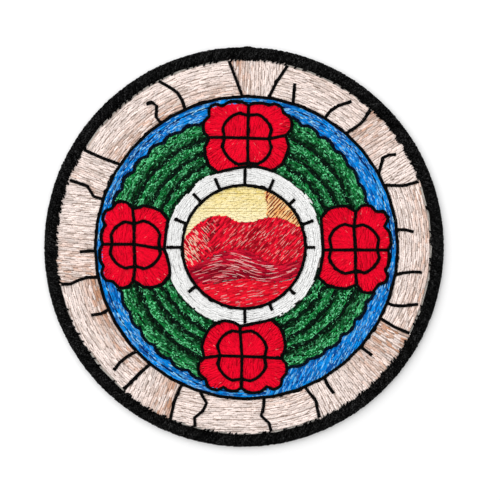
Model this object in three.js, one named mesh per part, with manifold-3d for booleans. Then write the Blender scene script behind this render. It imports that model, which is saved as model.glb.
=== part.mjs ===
// A round embroidered patch with a pictured rose window: a ring of stones, a wreath of four roses and
// four garlands, a pale dial and a round picture. It lies face up. Sizes are millimetres, +Z is up,
// +Y is the top of the picture, and the origin is on the table under the centre of the border.
import * as THREE from "three";
import { mergeVertices } from "three/addons/utils/BufferGeometryUtils.js";
import Module from "manifold-3d";

// Cloth, film and border
const patchRadius = 40;
const borderWidth = 2.5;
const borderGrip = 1.4;
const borderCrown = 1.2;
const borderFootRound = 0.3;
const filmThickness = 0.25;
const twillThickness = 0.5;
const hemClearance = 0.2;

// Stitched fields and the black lines on them
const fillHeight = 0.5;
const seamGap = 0.2;
const cordWidth = 0.62;
const cordHeight = 0.3;

// Rings of the picture, which lie a little off the centre of the border
const ringCentre = new THREE.Vector2(0.5, -0.1);
const wreathCentre = new THREE.Vector2(0.3, 0.1);
const dialCentre = new THREE.Vector2(-0.03, 0.02);
const stoneInnerRadius = 30.25;
const dialRadius = 12.35;
const dialBandWidth = 3.3;

// The outer edge of the dial is uneven: it leans to one side, is a little oval, and ripples
const dialLean = { depth: 0.37, bearing: 272 };
const dialOval = { depth: 0.26, bearing: 45 };
const dialRipple = { depth: 0.12, waves: 9 };

// Garlands: their outer edge has scallops, and their lowest line has waves
const scallopDepth = 0.85;
const scallopStep = 8.8;
const scallopStart = 25;
const waveDepth = 0.3;
const waveStep = 9.5;
const garlandHalfSpan = 29;

// Faces round a full circle, and points along the curves
const circleFaces = 36;
const crownFaces = 4;
const lobePoints = 4;
const petalPoints = 6;
const scallopPoints = 4;
const wavePoints = 3;
const horizonPoints = 10;

// Colours of the threads
const black = 0x100c10;
const cream = 0xe2d2c0;
const white = 0xeceaea;
const blue = 0x1f6fc4;
const green = 0x157a3e;
const red = 0xe00c28;
const straw = 0xf4e2a0;
const orange = 0xf0a058;
const crimson = 0xb00c2c;
const scarlet = 0xe81424;
const linen = 0xd8d4cc;
const film = 0xf2f0ea;

// Heights of the layers above the table, and the radii that follow from the sizes above
const twillTop = filmThickness + twillThickness;
const fillTop = twillTop + fillHeight;
const borderInnerRadius = patchRadius - borderWidth;
const twillRadius = borderInnerRadius + borderGrip;
const fieldRadius = borderInnerRadius - hemClearance;
const dialOuterRadius = dialRadius + dialBandWidth;
const wreathWidth = stoneInnerRadius - dialOuterRadius;
const roseUnit = wreathWidth / 100;

// Compass angles of each joint between two stones, at equal steps from the inner circle to the border
const joints = [
  [9.4, 11.3, 13.5],
  [42.0, 43.4, 42.8],
  [66.3, 68.9, 69.5],
  [117.6, 118.0, 117.5],
  [156.4, 155.0, 156.2],
  [172.4, 173.0, 174.2, 171.9, 171.6],
  [196.8, 193.5, 194.1, 196.2, 195.2],
  [204.3, 204.3, 203.2],
  [218.8, 219.7, 220.1],
  [258.2, 259.0, 258.7, 258.0, 258.4],
  [288.7, 288.6, 291.2, 291.1, 291.0],
  [303.6, 302.1, 301.3],
  [336.8, 337.1, 336.6, 334.8, 332.8],
  [359.3, 357.2, 355.4],
];

// Cracks that start at the inner circle: compass angle, and share of the way out to the border
const cracks = [
  [[18.8, 0], [17.9, 0.3], [17.2, 0.56]],
  [[32.1, 0], [32.3, 0.22], [33.7, 0.5], [36.4, 0.84]],
  [[61.4, 0], [59.5, 0.14], [57.4, 0.35], [57.6, 0.55], [58.7, 0.74]],
  [[83.5, 0], [83.9, 0.25], [84.9, 0.5]],
  [[100.4, 0], [99.3, 0.2], [98.4, 0.5], [98.1, 0.78]],
  [[111.4, 0], [111.3, 0.2], [110.2, 0.5], [108.2, 0.9]],
  [[130.6, 0], [130.2, 0.42]],
  [[148.4, 0], [148.7, 0.25], [148.5, 0.55]],
  [[226.0, 0], [226.9, 0.3], [227.1, 0.55], [226.5, 0.8]],
  [[245.2, 0], [245.0, 0.22], [246.0, 0.48]],
  [[268.6, 0], [268.3, 0.4]],
  [[326.1, 0], [325.9, 0.18], [328.2, 0.44], [327.6, 0.57], [325.6, 0.63]],
];

// Marks on the dial: compass angle, and share of the dial's band that the mark crosses
const marks = [
  [0.8, 1.3], [23.9, 0.73], [46.9, 0.49], [69.2, 0.76], [90.4, 0.58], [132.7, 0.49], [155.9, 0.49],
  [179.2, 1.3], [230.7, 0.6], [269.6, 1.3], [291.9, 0.8], [316.3, 0.73], [337.1, 0.78],
];

// Roses. A rose lies on a bearing, with its crossing at a share of the wreath's width from the dial and
// a little aside. Edge and petals list corners clockwise from the outward one, as a place aside, a place
// outward and the bulge of the lobe that follows, all in hundredths of the wreath's width.
const roses = [
  {
    bearing: 0, reach: 41.2, aside: 3.1,
    edge: [
      [1, 45, 3], [29, 45, 6], [49, 35, 10], [52, 4, 11], [33, -45, -2],
      [0, -39, -1], [-41, -47, 11], [-53, 1, 8], [-53, 30, 9], [-35, 44, 6],
    ],
    petals: [[1, 31, 14], [29, -1, 14], [1, -34, 15], [-32, 1, 15]],
  },
  {
    bearing: 90, reach: 43.3, aside: 4.8,
    edge: [
      [0, 45, 3], [28, 41, 7], [47, 32, 12], [47, 2, 10], [37, -51, -1],
      [0, -44, 0], [-44, -47, 12], [-52, 1, 9], [-53, 28, 10], [-32, 40, 6],
    ],
    petals: [[-2, 30, 14], [29, 0, 16], [-3, -33, 15], [-32, -2, 14]],
  },
  {
    bearing: 180, reach: 43.3, aside: 4.8,
    edge: [
      [1, 43, 5], [25, 42, 9], [50, 31, 9], [52, 2, 10], [32, -47, 4],
      [3, -41, 0], [-40, -50, 11], [-54, 3, 7], [-55, 30, 9], [-34, 41, 8],
    ],
    petals: [[1, 31, 14], [30, -1, 15], [1, -33, 15], [-31, 1, 14]],
  },
  {
    bearing: 270, reach: 45.4, aside: 3.1,
    edge: [
      [0, 43, 4], [26, 39, 7.5], [49, 31, 10], [48, 2, 10], [34, -46, 0],
      [-7, -41, 2], [-41, -49, 14], [-49, 1, 10], [-51, 29, 8], [-30, 42, 4.5],
    ],
    petals: [[1, 30, 13], [28, 0, 15], [0, -34, 15], [-30, -1, 15]],
  },
];

// Each garland's bearing, and how far out its lines lie at its start and end, as shares of the
// wreath's width: the feet of its scallops, its upper line, its middle line and its waved line
const garlands = [
  { bearing: 45, scallops: [0.756, 0.653], upper: [0.57, 0.465], middle: [0.32, 0.3], waved: [0.16, 0.12] },
  { bearing: 135, scallops: [0.749, 0.653], upper: [0.57, 0.465], middle: [0.325, 0.32], waved: [0.14, 0.12] },
  { bearing: 225, scallops: [0.797, 0.704], upper: [0.59, 0.509], middle: [0.355, 0.335], waved: [0.19, 0.18] },
  { bearing: 315, scallops: [0.797, 0.674], upper: [0.59, 0.495], middle: [0.355, 0.32], waved: [0.18, 0.16] },
];

// Lines of the round picture from left to right, as shares of the dial's radius
const crestLine = [
  [-1.1, -0.08], [-0.85, 0.28], [-0.6, 0.46], [-0.37, 0.51], [-0.1, 0.41], [0.15, 0.4], [0.36, 0.47],
  [0.7, 0.44], [1.1, 0.15],
];
const troughLine = [
  [-1.1, -0.5], [-0.75, -0.28], [-0.35, -0.08], [0.05, -0.04], [0.3, -0.2], [0.6, -0.28], [1.1, -0.15],
];
const footLine = [
  [-1.1, -0.63], [-0.5, -0.59], [0, -0.51], [0.4, -0.58], [0.75, -0.53], [1.1, -0.38],
];

// The upright line between the pale sky and the glow beside it, from the crest to the dial
const glowLine = [[0.34, 0.3], [0.37, 0.62], [0.34, 0.85], [0.37, 1.1]];

const wasm = await Module();
wasm.setup();

// A closed geometry as a solid that can be joined and cut
function solidOf(geometry) {
  const bare = new THREE.BufferGeometry();
  bare.setAttribute("position", geometry.getAttribute("position"));
  const merged = mergeVertices(bare, 1e-4);
  const vertProperties = merged.attributes.position.array;
  const triVerts = new Uint32Array(merged.index.array);
  return new wasm.Manifold(new wasm.Mesh({ numProp: 3, vertProperties, triVerts }));
}

// A solid back as a geometry
function geometryOf(solid) {
  const cut = solid.getMesh();
  const geometry = new THREE.BufferGeometry();
  geometry.setAttribute("position", new THREE.BufferAttribute(cut.vertProperties, 3));
  geometry.setIndex(new THREE.BufferAttribute(cut.triVerts, 1));
  return geometry;
}

// Several solids joined into one
function joined(solids) {
  return solids.reduce((whole, solid) => whole.add(solid));
}

// A point at a compass angle, clockwise in degrees from the top of the picture
function compassPoint(angle, radius, centre) {
  const turn = THREE.MathUtils.degToRad(angle);
  return new THREE.Vector2(centre.x + radius * Math.sin(turn), centre.y + radius * Math.cos(turn));
}

// Points clockwise round a circle
function circle(radius, centre = new THREE.Vector2()) {
  const points = [];
  for (let face = 0; face < circleFaces; face += 1) {
    points.push(compassPoint((360 * face) / circleFaces, radius, centre));
  }
  return points;
}

// An upright prism over a flat outline, with one hole where it is given. Both run clockwise, and a
// shape's hole has to run the other way round than its outline.
function prism(outline, bottom, height, hole = null) {
  const shape = new THREE.Shape(outline);
  if (hole) {
    shape.holes.push(new THREE.Path([...hole].reverse()));
  }
  const geometry = new THREE.ExtrudeGeometry(shape, { depth: height, bevelEnabled: false });
  return solidOf(geometry.translate(0, 0, bottom));
}

// A stitched field that lies on the twill
function field(outline, hole = null) {
  return prism(outline, twillTop, fillHeight, hole);
}

// A path moved to its left by a distance, which is outward where the path runs clockwise
function beside(path, distance, closed) {
  const count = path.length;
  return path.map((point, index) => {
    const before = path[closed ? (index + count - 1) % count : Math.max(index - 1, 0)];
    const after = path[closed ? (index + 1) % count : Math.min(index + 1, count - 1)];
    const along = after.clone().sub(before).normalize();
    return new THREE.Vector2(point.x - distance * along.y, point.y + distance * along.x);
  });
}

// A line of black thread that lies on the stitched fields along an open path
function threadLine(path) {
  const left = beside(path, cordWidth / 2, false);
  const right = beside(path, -cordWidth / 2, false);
  return prism([...left, ...right.reverse()], fillTop, cordHeight);
}

// A line of black thread along a closed path
function threadLoop(path) {
  const outer = beside(path, cordWidth / 2, true);
  const inner = beside(path, -cordWidth / 2, true);
  return prism(outer, fillTop, cordHeight, inner);
}

// Distance from the centre of the border to the inner circle of the stones, at a compass angle
function stoneInnerAt(angle) {
  const direction = compassPoint(angle, 1, new THREE.Vector2());
  const along = direction.dot(ringCentre);
  const across = direction.cross(ringCentre);
  return along + Math.sqrt(stoneInnerRadius ** 2 - across ** 2);
}

// A point in the ring of stones: share 0 is at its inner circle and share 1 at the border. A positive
// side moves the point clockwise by half a seam, and a negative side moves it back.
function stonePoint(angle, share, side = 0) {
  const inner = stoneInnerAt(angle) + seamGap / 2;
  const radius = THREE.MathUtils.lerp(inner, fieldRadius, share);
  const shift = THREE.MathUtils.radToDeg((side * seamGap) / 2 / radius);
  return compassPoint(angle + shift, radius, new THREE.Vector2());
}

// Points along a joint between two stones, from the inner circle to the border
function jointPath(joint, side = 0) {
  return joint.map((angle, index) => stonePoint(angle, index / (joint.length - 1), side));
}

// Points between two joints along the inner circle or the border, without the joints' own ends
function stoneArc(from, to, share) {
  const steps = Math.ceil(((to - from) * circleFaces) / 360);
  const points = [];
  for (let step = 1; step < steps; step += 1) {
    points.push(stonePoint(THREE.MathUtils.lerp(from, to, step / steps), share));
  }
  return points;
}

// One stone, between a joint and the next one clockwise
function stone(index) {
  const start = joints[index];
  const end = joints[(index + 1) % joints.length];
  const lap = index + 1 === joints.length ? 360 : 0;
  const rim = stoneArc(start.at(-1), end.at(-1) + lap, 1);
  const inner = stoneArc(start[0], end[0] + lap, 0);
  return field([...jointPath(start, 1), ...rim, ...jointPath(end, -1).reverse(), ...inner.reverse()]);
}

// The black lines of the masonry: the inner circle, the joints and the cracks
function stoneLines() {
  const ring = threadLoop(circle(stoneInnerRadius, ringCentre));
  const jointLines = joints.map((joint) => threadLine(jointPath(joint)));
  const crackLines = cracks.map((crack) => {
    return threadLine(crack.map(([angle, share]) => stonePoint(angle, share)));
  });
  return joined([ring, ...jointLines, ...crackLines]);
}

// The radius of the dial's uneven outer edge, at a compass angle
function dialEdgeAt(angle) {
  const turn = THREE.MathUtils.degToRad(angle);
  const lean = dialLean.depth * Math.cos(turn - THREE.MathUtils.degToRad(dialLean.bearing));
  const oval = dialOval.depth * Math.cos(2 * (turn - THREE.MathUtils.degToRad(dialOval.bearing)));
  return dialOuterRadius + lean + oval + dialRipple.depth * Math.sin(dialRipple.waves * turn);
}

// Points clockwise round the dial's outer edge, moved outward by a distance
function dialEdge(distance = 0) {
  return circle(1).map((point, face) => {
    const angle = (360 * face) / circleFaces;
    return compassPoint(angle, dialEdgeAt(angle) + distance, wreathCentre);
  });
}

// A rose's corner as a point of the picture
function rosePoint(rose, aside, outward) {
  const radius = dialOuterRadius + (rose.reach + outward) * roseUnit;
  const sideways = (rose.aside + aside) * roseUnit;
  const axis = compassPoint(rose.bearing, radius, wreathCentre);
  return compassPoint(rose.bearing + 90, sideways, axis);
}

// A closed outline of lobes between corners, where each lobe bulges outward as half an ellipse
function lobed(rose, corners, pointsEach = lobePoints) {
  const points = [];
  corners.forEach(([aside, outward, bulge], index) => {
    const next = corners[(index + 1) % corners.length];
    const start = new THREE.Vector2(aside, outward);
    const chord = new THREE.Vector2(next[0], next[1]).sub(start);
    const outwards = new THREE.Vector2(-chord.y, chord.x).normalize();
    for (let step = 0; step < pointsEach; step += 1) {
      const share = step / pointsEach;
      const rise = 2 * bulge * Math.sqrt(share * (1 - share));
      const place = start.clone().addScaledVector(chord, share).addScaledVector(outwards, rise);
      points.push(rosePoint(rose, place.x, place.y));
    }
  });
  return points;
}

// The black lines of a rose: its edge, the line round its inner petals, and the two that cross
function roseLines(rose) {
  const [outward, , , right, , foot, , left] = rose.edge;
  const [, east, , west] = rose.petals;
  const crossing = [0, 0];
  const path = (corners) => corners.map(([aside, reach]) => rosePoint(rose, aside, reach));
  return joined([
    threadLoop(lobed(rose, rose.edge)),
    threadLoop(lobed(rose, rose.petals, petalPoints)),
    threadLine(path([outward, crossing, foot])),
    threadLine(path([right, east, crossing, west, left])),
  ]);
}

// A prism over all four roses, grown by a distance, that cuts the fields and lines beside them
function roseZone(distance, bottom, height) {
  return joined(roses.map((rose) => prism(beside(lobed(rose, rose.edge), distance, true), bottom, height)));
}

// A point of the wreath: share 0 is at the dial and share 1 at the stones
function wreathPoint(angle, share) {
  return compassPoint(angle, dialOuterRadius + share * wreathWidth, wreathCentre);
}

// Points along one line of a garland, whose height may ripple by a distance at each angle
function garlandPath(garland, shares, steps, rippleAt = () => 0) {
  const points = [];
  for (let step = 0; step <= steps; step += 1) {
    const offset = THREE.MathUtils.lerp(-garlandHalfSpan, garlandHalfSpan, step / steps);
    const share = THREE.MathUtils.lerp(shares[0], shares[1], step / steps);
    points.push(wreathPoint(garland.bearing + offset, share + rippleAt(offset) / wreathWidth));
  }
  return points;
}

// Height of the scallops above their feet, at an angle from the middle of a garland
function scallopAt(offset) {
  const phase = (offset + 45 - scallopStart) / scallopStep;
  return scallopDepth * Math.sqrt(Math.abs(Math.sin(Math.PI * phase)));
}

// Height of the waves of a garland's lowest line
function waveAt(offset) {
  return waveDepth * Math.cos((2 * Math.PI * offset) / waveStep);
}

// The scalloped outer edge of a garland
function garlandEdge(garland) {
  const steps = Math.round((2 * garlandHalfSpan * scallopPoints) / scallopStep);
  return garlandPath(garland, garland.scallops, steps, scallopAt);
}

// The inner edge of a garland along the dial
function garlandFoot(garland, distance = 0) {
  const steps = Math.round((2 * garlandHalfSpan * circleFaces) / 360);
  const points = [];
  for (let step = 0; step <= steps; step += 1) {
    const angle = garland.bearing + THREE.MathUtils.lerp(-garlandHalfSpan, garlandHalfSpan, step / steps);
    points.push(compassPoint(angle, dialEdgeAt(angle) + distance, wreathCentre));
  }
  return points;
}

// The outline of a garland, smaller than its lines by a distance on both long sides
function garlandOutline(garland, distance) {
  const edge = beside(garlandEdge(garland), -distance, false);
  return [...edge, ...garlandFoot(garland, distance).reverse()];
}

// The black lines of a garland by name, which stop short of the roses' own lines
function garlandLines(garland) {
  const lineSteps = Math.round((garlandHalfSpan * circleFaces) / 360);
  const waveSteps = Math.round((2 * garlandHalfSpan * wavePoints) / waveStep);
  const roseEdges = roseZone((cordWidth + seamGap) / 2, fillTop, cordHeight);
  const paths = {
    edge: garlandEdge(garland),
    upper: garlandPath(garland, garland.upper, lineSteps),
    middle: garlandPath(garland, garland.middle, lineSteps),
    waved: garlandPath(garland, garland.waved, waveSteps, waveAt),
  };
  return Object.entries(paths).map(([name, path]) => [name, threadLine(path).subtract(roseEdges)]);
}

// The blue field between the stones and the wreath
function blueField() {
  const hole = circle(dialOuterRadius + 0.5 * wreathWidth, wreathCentre);
  const ring = field(circle(stoneInnerRadius - seamGap / 2, ringCentre), hole);
  const leaves = joined(garlands.map((garland) => field(garlandOutline(garland, -seamGap / 2))));
  return ring.subtract(leaves).subtract(roseZone(seamGap / 2, twillTop, fillHeight));
}

// The white field of the dial
function dialField() {
  const hole = circle(dialRadius + seamGap / 2, dialCentre);
  const ring = field(dialEdge(-seamGap / 2), hole);
  return ring.subtract(roseZone(seamGap / 2, twillTop, fillHeight));
}

// The black lines of the dial: its inner circle and its marks, which stop short of the roses' lines
function dialLines() {
  const ring = threadLoop(circle(dialRadius, dialCentre));
  const strokes = marks.map(([angle, share]) => {
    return threadLine([
      compassPoint(angle, dialRadius, dialCentre),
      compassPoint(angle, dialRadius + share * dialBandWidth, dialCentre),
    ]);
  });
  const roseEdges = roseZone((cordWidth + seamGap) / 2, fillTop, cordHeight);
  return joined([ring, ...strokes]).subtract(roseEdges);
}

// A smooth line of the round picture
function pictureLine(shares) {
  const spots = shares.map(([across, up]) => {
    return new THREE.Vector2(dialCentre.x + across * dialRadius, dialCentre.y + up * dialRadius);
  });
  return new THREE.SplineCurve(spots).getPoints(horizonPoints);
}

// A corner outside the round picture
function pictureCorner(across, up) {
  return new THREE.Vector2(dialCentre.x + across * dialRadius, dialCentre.y + up * dialRadius);
}

// The part of the round picture inside an outline
function pictureField(outline) {
  return field(circle(dialRadius - seamGap / 2, dialCentre)).intersect(field(outline));
}

// The part of the round picture between a line and the one below it
function pictureBand(above, below) {
  const upper = beside(pictureLine(above), -seamGap / 2, false);
  const lower = beside(pictureLine(below), seamGap / 2, false);
  return pictureField([...upper, ...lower.reverse()]);
}

// The part above the crest, on one side of the glow's edge: side 1 is left of it and side -1 is right
function pictureSky(side) {
  const crest = beside(pictureLine(crestLine), seamGap / 2, false);
  const above = pictureField([...crest, pictureCorner(1.2, 1.2), pictureCorner(-1.2, 1.2)]);
  const edge = beside(pictureLine(glowLine), (side * seamGap) / 2, false);
  const far = [pictureCorner(-1.2 * side, 1.1), pictureCorner(-1.2 * side, -0.5), pictureCorner(0.34, -0.5)];
  return above.intersect(field([...edge, ...far]));
}

// The part below the foot line
function pictureFoot() {
  const top = beside(pictureLine(footLine), -seamGap / 2, false);
  return pictureField([...top, pictureCorner(1.1, -1.2), pictureCorner(-1.1, -1.2)]);
}

// The overlocked border: a round crown over a slot that grips the edge of the twill
function borderGeometry() {
  const middle = patchRadius - borderWidth / 2;
  const slotRadius = twillRadius + hemClearance;
  const profile = [
    new THREE.Vector2(borderInnerRadius, 0),
    new THREE.Vector2(patchRadius - borderFootRound, 0),
    new THREE.Vector2(patchRadius, borderFootRound),
  ];
  for (let face = 0; face <= crownFaces; face += 1) {
    const turn = (Math.PI * face) / crownFaces;
    const height = twillTop + borderCrown * Math.sin(turn);
    profile.push(new THREE.Vector2(middle + (borderWidth / 2) * Math.cos(turn), height));
  }
  profile.push(new THREE.Vector2(slotRadius, twillTop));
  profile.push(new THREE.Vector2(slotRadius, filmThickness));
  profile.push(new THREE.Vector2(borderInnerRadius, filmThickness));
  profile.push(profile[0]);
  return new THREE.LatheGeometry(profile, circleFaces).rotateX(Math.PI / 2);
}

const patch = new THREE.Group();

// Add one named piece to the patch
function addPiece(name, geometry, color, roughness = 0.6) {
  const mesh = new THREE.Mesh(geometry, new THREE.MeshStandardMaterial({ color, roughness, metalness: 0 }));
  mesh.name = name;
  patch.add(mesh);
}

addPiece("backing_film", geometryOf(prism(circle(fieldRadius), 0, filmThickness)), film, 0.4);
addPiece("twill_ground", geometryOf(prism(circle(twillRadius), filmThickness, twillThickness)), linen, 0.9);
addPiece("overlock_border", borderGeometry(), black);
joints.forEach((joint, index) => {
  const number = String(index + 1).padStart(2, "0");
  addPiece(`stone_${number}`, geometryOf(stone(index)), cream);
});
addPiece("masonry_outline", geometryOf(stoneLines()), black);
addPiece("blue_field", geometryOf(blueField()), blue);
garlands.forEach((garland, index) => {
  const leaf = field(garlandOutline(garland, seamGap / 2));
  const beyondRoses = leaf.subtract(roseZone(seamGap / 2, twillTop, fillHeight));
  addPiece(`garland_${index + 1}`, geometryOf(beyondRoses), green);
});
garlands.forEach((garland, index) => {
  garlandLines(garland).forEach(([name, line]) => {
    addPiece(`garland_${index + 1}_${name}_line`, geometryOf(line), black);
  });
});
roses.forEach((rose, index) => {
  const body = field(beside(lobed(rose, rose.edge), -seamGap / 2, true));
  addPiece(`rose_${index + 1}`, geometryOf(body), red);
  addPiece(`rose_${index + 1}_outline`, geometryOf(roseLines(rose)), black);
});
addPiece("dial_field", geometryOf(dialField()), white);
addPiece("dial_outline", geometryOf(dialLines()), black);
addPiece("picture_sky", geometryOf(pictureSky(1)), straw);
addPiece("picture_glow", geometryOf(pictureSky(-1)), orange);
addPiece("picture_hills", geometryOf(pictureBand(crestLine, troughLine)), red);
addPiece("picture_trough", geometryOf(pictureBand(troughLine, footLine)), crimson);
addPiece("picture_foot", geometryOf(pictureFoot()), scarlet);

export default patch;
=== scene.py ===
# %% [markdown]
# # A stitched patch from flat solids
#
# The frame holds a round patch as plain solids: film, cloth, a border ring, and one pad for each
# field of thread with flat black lines on top. This lesson turns every pad into rows of real
# stitches, every black line into strands that follow its two edges, and the ring into overlocked
# wraps. All places come from the frame's own solids, so nothing is measured twice.

# %% Frame and libraries
import math

import bpy
import numpy as np
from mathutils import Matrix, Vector


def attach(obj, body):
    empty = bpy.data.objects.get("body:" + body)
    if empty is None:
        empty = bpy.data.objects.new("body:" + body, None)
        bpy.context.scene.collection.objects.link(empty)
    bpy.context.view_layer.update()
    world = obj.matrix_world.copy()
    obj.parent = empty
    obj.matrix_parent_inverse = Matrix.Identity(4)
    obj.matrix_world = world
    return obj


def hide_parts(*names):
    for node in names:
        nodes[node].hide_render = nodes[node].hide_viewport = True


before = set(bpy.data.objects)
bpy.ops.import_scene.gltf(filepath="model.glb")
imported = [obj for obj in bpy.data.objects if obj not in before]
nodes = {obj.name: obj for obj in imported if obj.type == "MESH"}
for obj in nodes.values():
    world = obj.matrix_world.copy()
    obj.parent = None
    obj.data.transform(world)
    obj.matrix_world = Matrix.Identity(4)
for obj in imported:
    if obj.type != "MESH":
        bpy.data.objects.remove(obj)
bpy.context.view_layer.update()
rng = np.random.default_rng(7)

MM = 0.001

# %% [markdown]
# Sizes of the threads, in millimetres. Rayon lies flat in its rows, wider than it is high. A strand is
# a tube with a few rings along it.

# %% Thread sizes
THREAD_HEIGHT = 0.26
UNDERLAY = 0.14
TWIST_PITCH = 0.5
THREAD_SIDES = 5
STITCH_RINGS = 5
FLECK_RINGS = 4

# %% [markdown]
# Colours as they look on the threads, in hex sRGB. A pad is the low layer under a field's stitches;
# most pads are darker than their thread, which paints shade into the gaps between the stitches.

# %% Colours
INK = "030303"
VEIN = "010a05"
NAVY = "030814"
CREAM = "f8e8e1"
TAN = "cc9a7c"
ASH = "c4b2a6"
DASH = "8e7260"
CHALK = "f6f6f5"
SKY_BLUE = "0698f2"
PALE_BLUE = "80d8ff"
ICE_BLUE = "b8ecff"
DEEP_BLUE = "064ca0"
SEA_BLUE = "053888"
LEAF = "16853f"
# Painted shade and painted glints of the garlands' leaves
PAINTED_SHADE_GREEN = "011408"
PAINTED_GLINT_GREEN = "82f8b2"
ROSE_RED = "f2002a"
DEEP_RED = "b4001a"
STRAW = "fff2c4"
GOLD = "f2dc86"
AMBER = "ffb86c"
HONEY = "fbe0a8"
RUST = "8c1c0a"
OXBLOOD = "6c0008"
# Painted glints on the roses' petals
GLINT_PINK = "ffb0aa"
HILL_RED = "fc1636"
HILL_SHADOW = "9c0418"
CORAL = "ee4a50"
BLUSH = "ffb8b0"
DAWN = "ffe8cc"
TROUGH_RED = "e01436"
TROUGH_SHADOW = "80001a"
MADDER = "e03a4c"
PALE_PINK = "ffd0cc"
FOOT_RED = "f81832"
FOOT_SHADOW = "cc0a24"
LINEN = "cfcac2"
FILM = "ece9e1"
FLOOR = "f8f8f8"
# Pads, mostly darker than their thread: painted shade in the gaps between the stitches
STONE_PAD = "d8c4b8"
BLUE_PAD = "06275c"
LEAF_PAD = "011006"
ROSE_PAD = "e80426"
DIAL_PAD = "e6e5e3"
SKY_PAD = "f4e4a8"
GLOW_PAD = "d89050"
HILL_PAD = "8c0418"
TROUGH_PAD = "700012"
FOOT_PAD = "a0081e"


def rgb(text):
    """A hex sRGB colour as linear red, green and blue."""
    parts = np.array([int(text[i:i + 2], 16) / 255 for i in (0, 2, 4)])
    return np.where(parts <= 0.04045, parts / 12.92, ((parts + 0.055) / 1.055) ** 2.4)


def mix(first, second, share):
    """A colour for each share: share 0 gives the first colour and share 1 the second."""
    share = np.clip(np.asarray(share, float), 0, 1)[..., None]
    return rgb(first) * (1 - share) + rgb(second) * share


def blend(colours, colour, share):
    """Colours moved towards one colour by a share each."""
    share = np.clip(np.asarray(share, float), 0, 1)[..., None]
    return colours * (1 - share) + rgb(colour) * share


def some(places, share):
    """True for a random share of the places."""
    return rng.random(len(places)) < share


def uneven(colours, low, high):
    """Colours, each darker or lighter by a random factor."""
    return colours * rng.uniform(low, high, (len(colours), 1))


def between(first, second, power=1.0, share=1.0):
    """A shade that lies anywhere from the first colour to a share of the way to the second. The
    higher the power, the nearer most of it is to the first."""
    return lambda places: mix(first, second, share * rng.random(len(places)) ** power)


# %% [markdown]
# The frame's solids give each field's outline: the edges that only one face of the top has. The
# solids are faceted, so each outline is drawn again as a smooth curve through its corners, and
# only sharp corners such as the notches between petals stay sharp.

# %% Outlines from the frame
SHARP_TURN = math.radians(52)
SIDE_STEPS = 6
SHORTEST_SIDE = 0.05
LEVEL = 0.01


def node_arrays(node):
    """A node's corners in millimetres, and its triangles."""
    mesh = nodes[node].data
    corners = np.empty(len(mesh.vertices) * 3)
    mesh.vertices.foreach_get("co", corners)
    mesh.calc_loop_triangles()
    triangles = np.empty(len(mesh.loop_triangles) * 3, int)
    mesh.loop_triangles.foreach_get("vertices", triangles)
    return corners.reshape(-1, 3) / MM, triangles.reshape(-1, 3)


def unit(vectors):
    """Vectors made one long."""
    return vectors / np.maximum(np.linalg.norm(vectors, axis=-1, keepdims=True), 1e-6)


def smoothed(loop):
    """A closed curve through a loop's corners. Each side is a Hermite curve: its end directions are
    the mean of the two sides that meet there, weighted by the other side's length, or its own
    direction where the loop turns sharply."""
    loop = loop[np.linalg.norm(np.roll(loop, -1, axis=0) - loop, axis=1) > SHORTEST_SIDE]
    ahead = np.roll(loop, -1, axis=0) - loop
    length = np.linalg.norm(ahead, axis=1, keepdims=True)
    ahead = ahead / length
    behind = np.roll(ahead, 1, axis=0)
    mean = unit(behind * length + ahead * np.roll(length, 1, axis=0))
    sharp = (behind * ahead).sum(axis=1, keepdims=True) < math.cos(SHARP_TURN)
    start = np.where(sharp, ahead, mean) * length
    end = np.where(np.roll(sharp, -1, axis=0), ahead, np.roll(mean, -1, axis=0)) * length
    share = (np.arange(SIDE_STEPS) / SIDE_STEPS)[None, :, None]
    curve = (
        (2 * share ** 3 - 3 * share ** 2 + 1) * loop[:, None]
        + (share ** 3 - 2 * share ** 2 + share) * start[:, None]
        + (3 * share ** 2 - 2 * share ** 3) * np.roll(loop, -1, axis=0)[:, None]
        + (share ** 3 - share ** 2) * end[:, None]
    )
    return curve.reshape(-1, 2)


def node_loops(node):
    """The closed outlines of a node's top face, as smooth curves in millimetres."""
    corners, triangles = node_arrays(node)
    top = corners[:, 2].max()
    keys = [tuple(np.round(corner, 3)) for corner in corners]
    follows = {}
    for triangle in triangles:
        if np.all(corners[triangle, 2] > top - LEVEL):
            for side in range(3):
                start = keys[triangle[side]]
                end = keys[triangle[(side + 1) % 3]]
                if start in follows.get(end, ()):
                    follows[end].remove(start)
                else:
                    follows.setdefault(start, []).append(end)
    loops = []
    while any(follows.values()):
        start = next(key for key, ends in follows.items() if ends)
        loop = [start]
        here = follows[start].pop()
        while here != start:
            loop.append(here)
            here = follows[here].pop()
        loops.append(smoothed(np.array(loop)[:, :2]))
    return loops


def widest_first(node):
    """The outlines of a node, the widest one first."""
    return sorted(node_loops(node), key=lambda loop: -np.ptp(loop[:, 0]))


def resample(loop, step):
    """A closed loop as points at equal steps along it."""
    ring = np.vstack([loop, loop[:1]])
    length = np.concatenate([[0], np.cumsum(np.linalg.norm(np.diff(ring, axis=0), axis=1))])
    count = max(6, int(round(length[-1] / step)))
    places = np.linspace(0, length[-1], count, endpoint=False)
    return np.stack([np.interp(places, length, ring[:, axis]) for axis in (0, 1)], axis=1)


def beside(loop, distance):
    """A loop moved to the left of its own direction, which is into the solid that it bounds."""
    ahead = unit(np.roll(loop, -1, axis=0) - np.roll(loop, 1, axis=0))
    return loop + distance * np.stack([-ahead[:, 1], ahead[:, 0]], axis=1)


def is_inside(places, loops):
    """True where a place is inside: a line from it to the left crosses the loops an odd number of times."""
    crossings = np.zeros(len(places), int)
    for loop in loops:
        start, end = loop[None], np.roll(loop, -1, axis=0)[None]
        height = places[:, None, 1]
        spans = (start[..., 1] <= height) != (end[..., 1] <= height)
        rise = np.where(spans, end[..., 1] - start[..., 1], 1.0)
        reach = start[..., 0] + (height - start[..., 1]) / rise * (end[..., 0] - start[..., 0])
        crossings += (spans & (reach < places[:, None, 0])).sum(axis=1)
    return crossings % 2 == 1


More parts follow.
